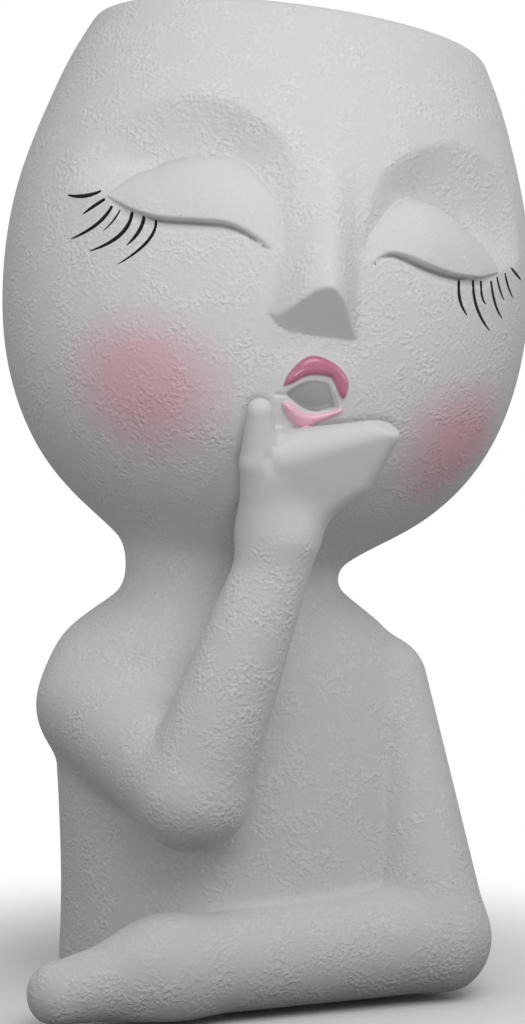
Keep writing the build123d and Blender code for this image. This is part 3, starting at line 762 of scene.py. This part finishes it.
def mark_paint(piece):
    """Where the lips and the lower lip's painted light, the blush, the painted shade in the creases and the
    smooth, hardly stuccoed skin are.
    """
    points = vertex_places(piece)
    across, deep, level = on_head(points)
    turn = head_turn(across, deep, level)
    places = np.stack([turn, level], 1)
    outer_skin = np.abs(head_distance(points)) < OUTER_SKIN_REACH
    front = (np.abs(turn) < FACE_TURN) & (level > RELIEF_RISES[0]) & outer_skin
    lips = np.full(len(points), LIPS_FAR)
    upper = -outline_distance(places[front], rounded_outline(UPPER_LIP))
    lower = -outline_distance(places[front], rounded_outline(LOWER_LIP))
    lips[front] = np.maximum(upper, lower)
    # Lower lip, which the paint makes lighter as painted light where it faces up
    lower_lip = np.zeros(len(points))
    lower_lip[front] = lower > upper
    blush = np.zeros(len(points))
    for patch_turn, patch_rise, wide, tall in BLUSHES:
        away = np.hypot((turn - patch_turn) / wide, (level - patch_rise) / tall)
        blush = np.maximum(blush, ease(BLUSH_FULLNESS * (1 - away)))
    hand = ease((HAND_SMOOTH_REACH - hand_distance(points)) / HAND_SMOOTH_FADE)
    hand = hand * ease((points[:, 2] - HAND_SMOOTH_FOOT) / HAND_SMOOTH_RISE)
    smooth = np.where(outer_skin, 0, hand)
    for arch, lash_line in ((LEFT_LID_ARCH, LEFT_LASH_LINE), (RIGHT_LID_ARCH, RIGHT_LASH_LINE)):
        lid = np.zeros(len(points))
        lid[front] = ease(SMOOTH_EDGE - outline_distance(places[front], lid_outline(arch, lash_line)))
        smooth = np.maximum(smooth, LID_SMOOTHNESS * lid)
    from_mouth = np.hypot(turn - POUT_CENTRE[0], level - POUT_CENTRE[1])
    mouth = ease((MOUTH_SMOOTH_REACH - from_mouth) / MOUTH_SMOOTH_FADE)
    smooth = np.maximum(smooth, np.where(outer_skin, mouth, 0))
    nose = np.zeros(len(points))
    nose[front] = ease(SMOOTH_EDGE - outline_distance(places[front], np.array(NOSE_EDGE[:-1])))
    smooth = np.maximum(smooth, nose)
    # Painted shade: distance to the lash creases and the mouth's corner crease, where dark paint stands in
    # for their shadow; inside the mouth it stays near, so the recess is painted dark
    crease = np.full(len(points), CREASE_FAR)
    for line in (LEFT_CREASE, RIGHT_CREASE, MOUTH_CREASE):
        from_start = np.hypot(*(places[front] - line[0]).T)
        from_ends = np.minimum(from_start, np.hypot(*(places[front] - line[-1]).T))
        away = open_distance(places[front], rounded_line(line))
        away = away + CREASE_TAPER * (1 - ease(from_ends / CREASE_TAPER_REACH))
        crease[front] = np.minimum(crease[front], away)
    in_mouth = outline_distance(places[front], rounded_outline(MOUTH)) < -MOUTH_EDGE_WIDTH / 2
    crease[front] = np.where(in_mouth, np.minimum(crease[front], MOUTH_SHADE), crease[front])
    set_attribute(piece, "lip_depth", lips)
    set_attribute(piece, "lower_lip", lower_lip)
    set_attribute(piece, "painted_shade_away", crease)
    set_attribute(piece, "blush", np.where(outer_skin, blush, 0))
    set_attribute(piece, "stucco", 1 - smooth)


# Materials

def colour(hex_value):
    """Linear colour from an sRGB hex value."""
    channels = [int(hex_value[i:i + 2], 16) / 255 for i in (1, 3, 5)]
    return [c / 12.92 if c <= 0.04045 else ((c + 0.055) / 1.055) ** 2.4 for c in channels] + [1.0]


def node(tree, kind, links=None, **settings):
    """Adds a node with its settings, and links or sets its inputs by name or number."""
    made = tree.nodes.new(kind)
    for name, value in settings.items():
        setattr(made, name, value)
    for name, value in (links or {}).items():
        if isinstance(value, bpy.types.NodeSocket):
            tree.links.new(value, made.inputs[name])
        else:
            made.inputs[name].default_value = value
    return made


def new_material(name):
    """Node material with nothing in it but the object's own coordinates."""
    material = bpy.data.materials.new(name)
    material.use_nodes = True
    tree = material.node_tree
    tree.nodes.clear()
    return material, tree, node(tree, "ShaderNodeTexCoord").outputs["Object"]


def grain_scale(size_mm):
    """Texture scale whose pattern repeats about every so many millimetres."""
    return 1 / (size_mm * MM)


def matte_painted_resin():
    """Matte wall paint over stuccoed cast resin: an even off-white, soft grey in the pits of its grain as
    painted shade, with painted shade in the creases and inside the mouth for their shadow, pink airbrushed
    cheeks without an edge, and glossy pink lips, the lower one lighter as painted light where it faces up."""
    material, tree, place = new_material("matte_painted_resin")
    marks = ("stucco", "blush", "lip_depth", "lower_lip", "painted_shade_away")
    marks = [node(tree, "ShaderNodeAttribute", attribute_name=mark).outputs["Fac"] for mark in marks]
    stucco, blush, depth, lower, crease = marks
    lips = node(tree, "ShaderNodeMapRange", {"Value": depth, "From Min": -0.15, "From Max": 0.2}).outputs[0]
    grit = node(tree, "ShaderNodeTexNoise", {"Vector": place, "Scale": grain_scale(0.85), "Detail": 1.5,
                                             "Roughness": 0.5}).outputs["Fac"]
    grains = node(tree, "ShaderNodeMapRange", {"Value": grit, "From Min": 0.3, "From Max": 0.72},
                  interpolation_type="SMOOTHSTEP").outputs[0]
    lumps = node(tree, "ShaderNodeTexNoise", {"Vector": place, "Scale": grain_scale(6),
                                              "Detail": 3.0}).outputs["Fac"]
    patches = node(tree, "ShaderNodeMapRange", {"Value": lumps, "From Min": 0.4, "From Max": 0.62,
                                                "To Min": 0.15, "To Max": 1.0}).outputs[0]
    height = node(tree, "ShaderNodeMath", {0: grains, 1: patches}, operation="MULTIPLY").outputs[0]
    # Painted shade in the stucco: the paint goes greyer where the grain's relief is low, standing in for
    # shadow in its pits
    pit_shading = node(tree, "ShaderNodeMath", {0: height, 1: stucco}, operation="MULTIPLY").outputs[0]
    paint = node(tree, "ShaderNodeMix", {"Factor": pit_shading, "A": colour("#d2d1d3"), "B": colour("#dddcde")},
                 data_type="RGBA").outputs["Result"]
    # Painted shade: dark paint along the creases and inside the mouth, standing in for their shadow
    painted_shade = node(tree, "ShaderNodeMapRange", {"Value": crease, "From Min": 0.0, "From Max": 0.6, "To Min": 0.6,
                                             "To Max": 0.0}, interpolation_type="SMOOTHSTEP").outputs[0]
    paint = node(tree, "ShaderNodeMix", {"Factor": painted_shade, "A": paint, "B": colour("#5a4c4c")},
                 data_type="RGBA").outputs["Result"]
    cover = node(tree, "ShaderNodeMath", {0: blush, 1: 0.75}, operation="MULTIPLY").outputs[0]
    paint = node(tree, "ShaderNodeMix", {"Factor": cover, "A": paint, "B": colour("#d8a3ad")},
                 data_type="RGBA").outputs["Result"]
    # Painted light on the lips: the lower lip, which faces up into the light, gets a lighter pink than the
    # upper one
    lip_pinks_painted_light = node(tree, "ShaderNodeMix", {"Factor": lower, "A": colour("#b5647f"), "B": colour("#e6b0c2")},
                data_type="RGBA").outputs["Result"]
    paint = node(tree, "ShaderNodeMix", {"Factor": lips, "A": paint, "B": lip_pinks_painted_light},
                 data_type="RGBA").outputs["Result"]
    gloss = node(tree, "ShaderNodeMapRange", {"Value": lips, "To Min": 0.78, "To Max": 0.3}).outputs[0]
    strength = node(tree, "ShaderNodeMapRange", {"Value": stucco, "To Min": 0.08, "To Max": 1.0}).outputs[0]
    bump = node(tree, "ShaderNodeBump", {"Strength": strength, "Distance": 0.18 * MM,
                                         "Height": height}).outputs[0]
    shader = node(tree, "ShaderNodeBsdfPrincipled", {"Base Color": paint, "Roughness": gloss, "Normal": bump,
                                                     "Specular IOR Level": 0.3, "Coat Weight": lips,
                                                     "Coat Roughness": 0.12})
    node(tree, "ShaderNodeOutputMaterial", {"Surface": shader.outputs[0]})
    return material


def one_pattern(name, texture, size, pattern, shades, surface, relief=None, **settings):
    """Material with one fine pattern of so many millimetres, which mixes its two shades, whatever the surface
    gives as a range, and its relief, given as a strength and a height in millimetres."""
    material, tree, place = new_material(name)
    made = node(tree, texture, {"Vector": place, "Scale": grain_scale(size), **pattern}, **settings)
    grain = made.outputs["Distance" if texture == "ShaderNodeTexVoronoi" else "Fac"]
    body = node(tree, "ShaderNodeMix", {"Factor": grain, "A": colour(shades[0]), "B": colour(shades[1])},
                data_type="RGBA").outputs["Result"]
    links = {"Base Color": body}
    for socket, value in surface.items():
        if isinstance(value, tuple):
            least, most = value
            value = node(tree, "ShaderNodeMapRange", {"Value": grain, "To Min": least,
                                                      "To Max": most}).outputs[0]
        links[socket] = value
    if relief:
        strength, height = relief
        links["Normal"] = node(tree, "ShaderNodeBump", {"Strength": strength, "Distance": height * MM,
                                                        "Height": grain}).outputs[0]
    shader = node(tree, "ShaderNodeBsdfPrincipled", links)
    node(tree, "ShaderNodeOutputMaterial", {"Surface": shader.outputs[0]})
    return material


def brushed_black_enamel():
    """Black enamel laid on with a fine brush: deep black with a slight sheen and faint streaks."""
    return one_pattern("brushed_black_enamel", "ShaderNodeTexNoise", 0.8, {"Detail": 2.0},
                       ("#050505", "#131213"), {"Roughness": 0.6, "Specular IOR Level": 0.15})


def unpainted_cast_resin():
    """Cast resin left bare inside: warm grey with fine filler specks and a dull, slightly uneven face."""
    material, tree, place = new_material("unpainted_cast_resin")
    specks = node(tree, "ShaderNodeTexNoise", {"Vector": place, "Scale": grain_scale(0.9),
                                               "Detail": 3.0}).outputs["Fac"]
    clouds = node(tree, "ShaderNodeTexNoise", {"Vector": place, "Scale": grain_scale(14),
                                               "Detail": 3.0}).outputs["Fac"]
    body = node(tree, "ShaderNodeMix", {"Factor": clouds, "A": colour("#b5aea3"), "B": colour("#c9c3b8")},
                data_type="RGBA").outputs["Result"]
    dust = node(tree, "ShaderNodeMapRange", {"Value": specks, "From Min": 0.56, "From Max": 0.68,
                                             "To Max": 0.5}).outputs[0]
    body = node(tree, "ShaderNodeMix", {"Factor": dust, "A": body, "B": colour("#8f897f")},
                data_type="RGBA").outputs["Result"]
    dull = node(tree, "ShaderNodeMapRange", {"Value": clouds, "To Min": 0.6, "To Max": 0.85}).outputs[0]
    bump = node(tree, "ShaderNodeBump", {"Strength": 0.5, "Distance": 0.15 * MM, "Height": specks}).outputs[0]
    shader = node(tree, "ShaderNodeBsdfPrincipled", {"Base Color": body, "Roughness": dull, "Normal": bump})
    node(tree, "ShaderNodeOutputMaterial", {"Surface": shader.outputs[0]})
    return material


def drawn_steel_rod():
    """Drawn steel rod: plain bright metal with a fine, uneven polish."""
    return one_pattern("drawn_steel_rod", "ShaderNodeTexNoise", 0.6, {"Detail": 4.0}, ("#9b9b99", "#c4c4c2"),
                       {"Roughness": (0.25, 0.5), "Metallic": 1.0})


def die_cut_foam():
    """Closed-cell foam sheet, cut with a die: dull charcoal with tiny open cells."""
    return one_pattern("die_cut_foam", "ShaderNodeTexVoronoi", 0.7, {}, ("#2b2b2c", "#424243"),
                       {"Roughness": 0.92}, (0.7, 0.2))


def extruded_pvc_tube():
    """Extruded PVC tube: satin grey with faint rings from the haul-off."""
    return one_pattern("extruded_pvc_tube", "ShaderNodeTexWave", 40, {"Distortion": 3.0},
                       ("#a9abac", "#b4b6b7"), {"Roughness": (0.35, 0.45), "IOR": 1.53}, bands_direction="Z")


def moulded_black_rubber():
    """Moulded rubber: near black, dusted grey on top of a fine mould texture."""
    return one_pattern("moulded_black_rubber", "ShaderNodeTexNoise", 0.5, {"Detail": 3.0},
                       ("#343434", "#4b4a49"), {"Roughness": 0.75}, (0.4, 0.08))


def spark_eroded_polypropylene():
    """Injection-moulded polypropylene with a spark-eroded grain: dark grey, satin, slightly waxy."""
    return one_pattern("spark_eroded_polypropylene", "ShaderNodeTexVoronoi", 0.6, {}, ("#565857", "#474948"),
                       {"Roughness": (0.4, 0.6), "IOR": 1.49}, (0.35, 0.08))


# Pieces

def camera_axes():
    """Camera's place, and its forward, right and up directions, in millimetres."""
    turn, rise = radians(CAMERA_AZIMUTH), radians(CAMERA_ELEVATION)
    back = np.array([sin(turn) * cos(rise), -cos(turn) * cos(rise), sin(rise)])
    right = np.array([cos(turn), sin(turn), 0.0])
    return np.array(CAMERA_TARGET) + back * CAMERA_DISTANCE, -back, right, np.cross(right, -back)


def pixel_ray(pixel):
    """Camera's place and the direction through a pixel of the photograph."""
    place, ahead, right, up = camera_axes()
    across = (pixel[0] - OPTICAL_CENTRE[0]) / FOCAL_PIXELS
    down = (pixel[1] - OPTICAL_CENTRE[1]) / FOCAL_PIXELS
    return place, ahead + right * across - up * down


def bent_stroke(start, middle, end):
    """Pixels along a stroke that bends through a middle point."""
    start, middle, end = (np.array(p, float) for p in (start, middle, end))
    pull = 2 * middle - (start + end) / 2
    shares = np.linspace(0, 1, LASH_STEPS)[:, None]
    return start * (1 - shares) ** 2 + 2 * pull * shares * (1 - shares) + end * shares**2


def stroke_tube_tree():
    """Geometry nodes that sweep a round brush stroke along each line, as thick as the line says."""
    tree = bpy.data.node_groups.new("brush_strokes", "GeometryNodeTree")
    tree.interface.new_socket("Geometry", in_out="INPUT", socket_type="NodeSocketGeometry")
    tree.interface.new_socket("Sides", in_out="INPUT", socket_type="NodeSocketInt")
    tree.interface.new_socket("Paint", in_out="INPUT", socket_type="NodeSocketMaterial")
    tree.interface.new_socket("Geometry", in_out="OUTPUT", socket_type="NodeSocketGeometry")
    start = node(tree, "NodeGroupInput")
    lines = node(tree, "GeometryNodeMeshToCurve", {"Mesh": start.outputs["Geometry"]})
    width = node(tree, "GeometryNodeInputNamedAttribute", {"Name": "stroke_radius"}, data_type="FLOAT")
    sized = node(tree, "GeometryNodeSetCurveRadius", {"Curve": lines.outputs[0], "Radius": width.outputs[0]})
    ring = node(tree, "GeometryNodeCurvePrimitiveCircle", {"Resolution": start.outputs["Sides"],
                                                           "Radius": 1.0})
    tube = node(tree, "GeometryNodeCurveToMesh", {"Curve": sized.outputs[0], "Profile Curve": ring.outputs[0],
                                                  "Scale": width.outputs[0], "Fill Caps": True})
    real = node(tree, "GeometryNodeRealizeInstances", {"Geometry": tube.outputs[0]})
    painted = node(tree, "GeometryNodeSetMaterial", {"Geometry": real.outputs[0],
                                                     "Material": start.outputs["Paint"]})
    node(tree, "NodeGroupOutput", {"Geometry": painted.outputs[0]})
    return tree


def paint_lashes(skin, paint):
    """Tapered strokes that lie on the skin where the photograph shows the lashes."""
    tree = BVHTree.FromObject(skin, bpy.context.evaluated_depsgraph_get())
    points, lines, radii = [], [], []
    for start, middle, end, width in LASH_STROKES:
        shares = np.linspace(0, 1, LASH_STEPS)
        fullness = np.sin(np.pi * (LASH_TAPER[0] + LASH_TAPER[1] * shares)) ** LASH_FULLNESS
        thickness = width * CAMERA_DISTANCE / FOCAL_PIXELS / 2 * fullness
        last = None
        for pixel, radius in zip(bent_stroke(start, middle, end), thickness):
            place, ahead = pixel_ray(pixel)
            spot = tree.ray_cast(Vector(place * MM), Vector(ahead))[0]
            if spot is None:
                last = None
                continue
            points.append(tuple(spot))
            radii.append(radius * MM)
            if last is not None:
                lines.append((last, len(points) - 1))
            last = len(points) - 1
    mesh = bpy.data.meshes.new("painted_lashes")
    mesh.from_pydata(points, lines, [])
    piece = bpy.data.objects.new("painted_lashes", mesh)
    bpy.context.scene.collection.objects.link(piece)
    set_attribute(piece, "stroke_radius", radii)
    sweep = piece.modifiers.new("strokes", "NODES")
    sweep.node_group = stroke_tube_tree()
    for item in sweep.node_group.interface.items_tree:
        if item.name == "Sides":
            sweep[item.identifier] = LASH_SIDES
        if item.name == "Paint":
            sweep[item.identifier] = paint
    bake_modifiers(piece)
    places = vertex_places(piece) * MM
    for i, place in enumerate(places):
        spot, normal, _, _ = tree.find_nearest(Vector(place))
        away = (Vector(place) - spot).dot(normal)
        places[i] = Vector(place) - normal * away * (1 - LASH_THICKNESS_SHARE)
    piece.data.vertices.foreach_set("co", places.ravel())
    return piece


# Stage

def make_camera():
    """Camera at the photograph's angle."""
    place, ahead = camera_axes()[:2]
    lens = bpy.data.cameras.new("camera")
    lens.sensor_width = SENSOR_WIDTH
    lens.lens = FOCAL_PIXELS / PHOTO_HEIGHT * SENSOR_WIDTH
    lens.shift_x = (PHOTO_WIDTH / 2 - OPTICAL_CENTRE[0]) / PHOTO_HEIGHT
    lens.shift_y = (OPTICAL_CENTRE[1] - PHOTO_HEIGHT / 2) / PHOTO_HEIGHT
    lens.clip_start = NEAREST_SEEN
    camera = bpy.data.objects.new("camera", lens)
    bpy.context.scene.collection.objects.link(camera)
    camera.location = place * MM
    camera.rotation_euler = Vector(ahead).to_track_quat("-Z", "Y").to_euler()
    bpy.context.scene.camera = camera


def make_lamp(name, azimuth, elevation, distance, width, spread, level, power):
    """Square soft lamp that looks at a level of the planter."""
    lamp = bpy.data.lights.new(name, "AREA")
    lamp.size = width
    lamp.spread = radians(spread)
    lamp.energy = power
    holder = bpy.data.objects.new(name, lamp)
    bpy.context.scene.collection.objects.link(holder)
    turn, rise = radians(azimuth), radians(elevation)
    back = Vector((sin(turn) * cos(rise), -cos(turn) * cos(rise), sin(rise)))
    holder.location = Vector((0, 0, level)) + back * distance
    holder.rotation_euler = (-back).to_track_quat("-Z", "Y").to_euler()


def background_ray(tree):
    """One for rays that look at the background: straight from the camera, or by way of gloss or glass."""
    path = node(tree, "ShaderNodeLightPath").outputs
    seen = node(tree, "ShaderNodeMath", {0: path["Is Camera Ray"], 1: path["Is Glossy Ray"]},
                operation="MAXIMUM")
    return node(tree, "ShaderNodeMath", {0: seen.outputs[0], 1: path["Is Transmission Ray"]},
                operation="MAXIMUM").outputs[0]


def make_floor():
    """Pale floor that keeps the shadow near the planter and runs out to plain white for the camera."""
    corners = [(x * FLOOR_REACH, y * FLOOR_REACH, 0) for x, y in ((-1, -1), (1, -1), (1, 1), (-1, 1))]
    mesh = bpy.data.meshes.new("floor")
    mesh.from_pydata(corners, [], [(0, 1, 2, 3)])
    floor = bpy.data.objects.new("floor", mesh)
    bpy.context.scene.collection.objects.link(floor)
    material, tree, place = new_material("pale_floor")
    away = node(tree, "ShaderNodeVectorMath", {0: place}, operation="LENGTH").outputs["Value"]
    fade = node(tree, "ShaderNodeMapRange", {"Value": away, "From Min": SHADOW_REACH[0],
                                             "From Max": SHADOW_REACH[1]},
                interpolation_type="SMOOTHSTEP").outputs[0]
    near = node(tree, "ShaderNodeBsdfDiffuse", {"Color": colour("#fbfbfb")}).outputs[0]
    far = node(tree, "ShaderNodeEmission", {"Color": colour("#ffffff")}).outputs[0]
    seen = node(tree, "ShaderNodeMixShader", {0: fade, 1: near, 2: far}).outputs[0]
    unseen = node(tree, "ShaderNodeBsdfDiffuse", {"Color": colour(FLOOR_BOUNCE)}).outputs[0]
    both = node(tree, "ShaderNodeMixShader", {0: background_ray(tree), 1: unseen, 2: seen}).outputs[0]
    node(tree, "ShaderNodeOutputMaterial", {"Surface": both})
    floor.data.materials.append(material)


def make_world():
    """Soft even surroundings that the camera sees as white."""
    world = bpy.data.worlds.new("studio")
    world.use_nodes = True
    tree = world.node_tree
    tree.nodes.clear()
    strength = node(tree, "ShaderNodeMapRange", {"Value": background_ray(tree), "To Min": AMBIENT_LIGHT,
                                                 "To Max": 1.0}).outputs[0]
    glow = node(tree, "ShaderNodeBackground", {"Color": colour("#ffffff"), "Strength": strength}).outputs[0]
    node(tree, "ShaderNodeOutputWorld", {"Surface": glow})
    bpy.context.scene.world = world


skin = sculpt_skin()
mark_paint(skin)
skin.data.materials.append(matte_painted_resin())
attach(skin, "planter")
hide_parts("head_bowl", "torso_shell", "raised_forearm")

lashes = paint_lashes(skin, brushed_black_enamel())
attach(lashes, "planter")

for name, finish in (
    ("base_plate", unpainted_cast_resin()),
    ("elbow_dowel", drawn_steel_rod()),
    ("base_pad", die_cut_foam()),
    ("drain_tube", extruded_pvc_tube()),
    ("drain_plug", moulded_black_rubber()),
    ("drain_screen", spark_eroded_polypropylene()),
):
    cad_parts[name].data.materials.clear()
    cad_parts[name].data.materials.append(finish)

make_camera()
make_floor()
make_world()
for lamp in LAMPS:
    make_lamp(*lamp)
bpy.context.scene.view_settings.view_transform = "Standard"
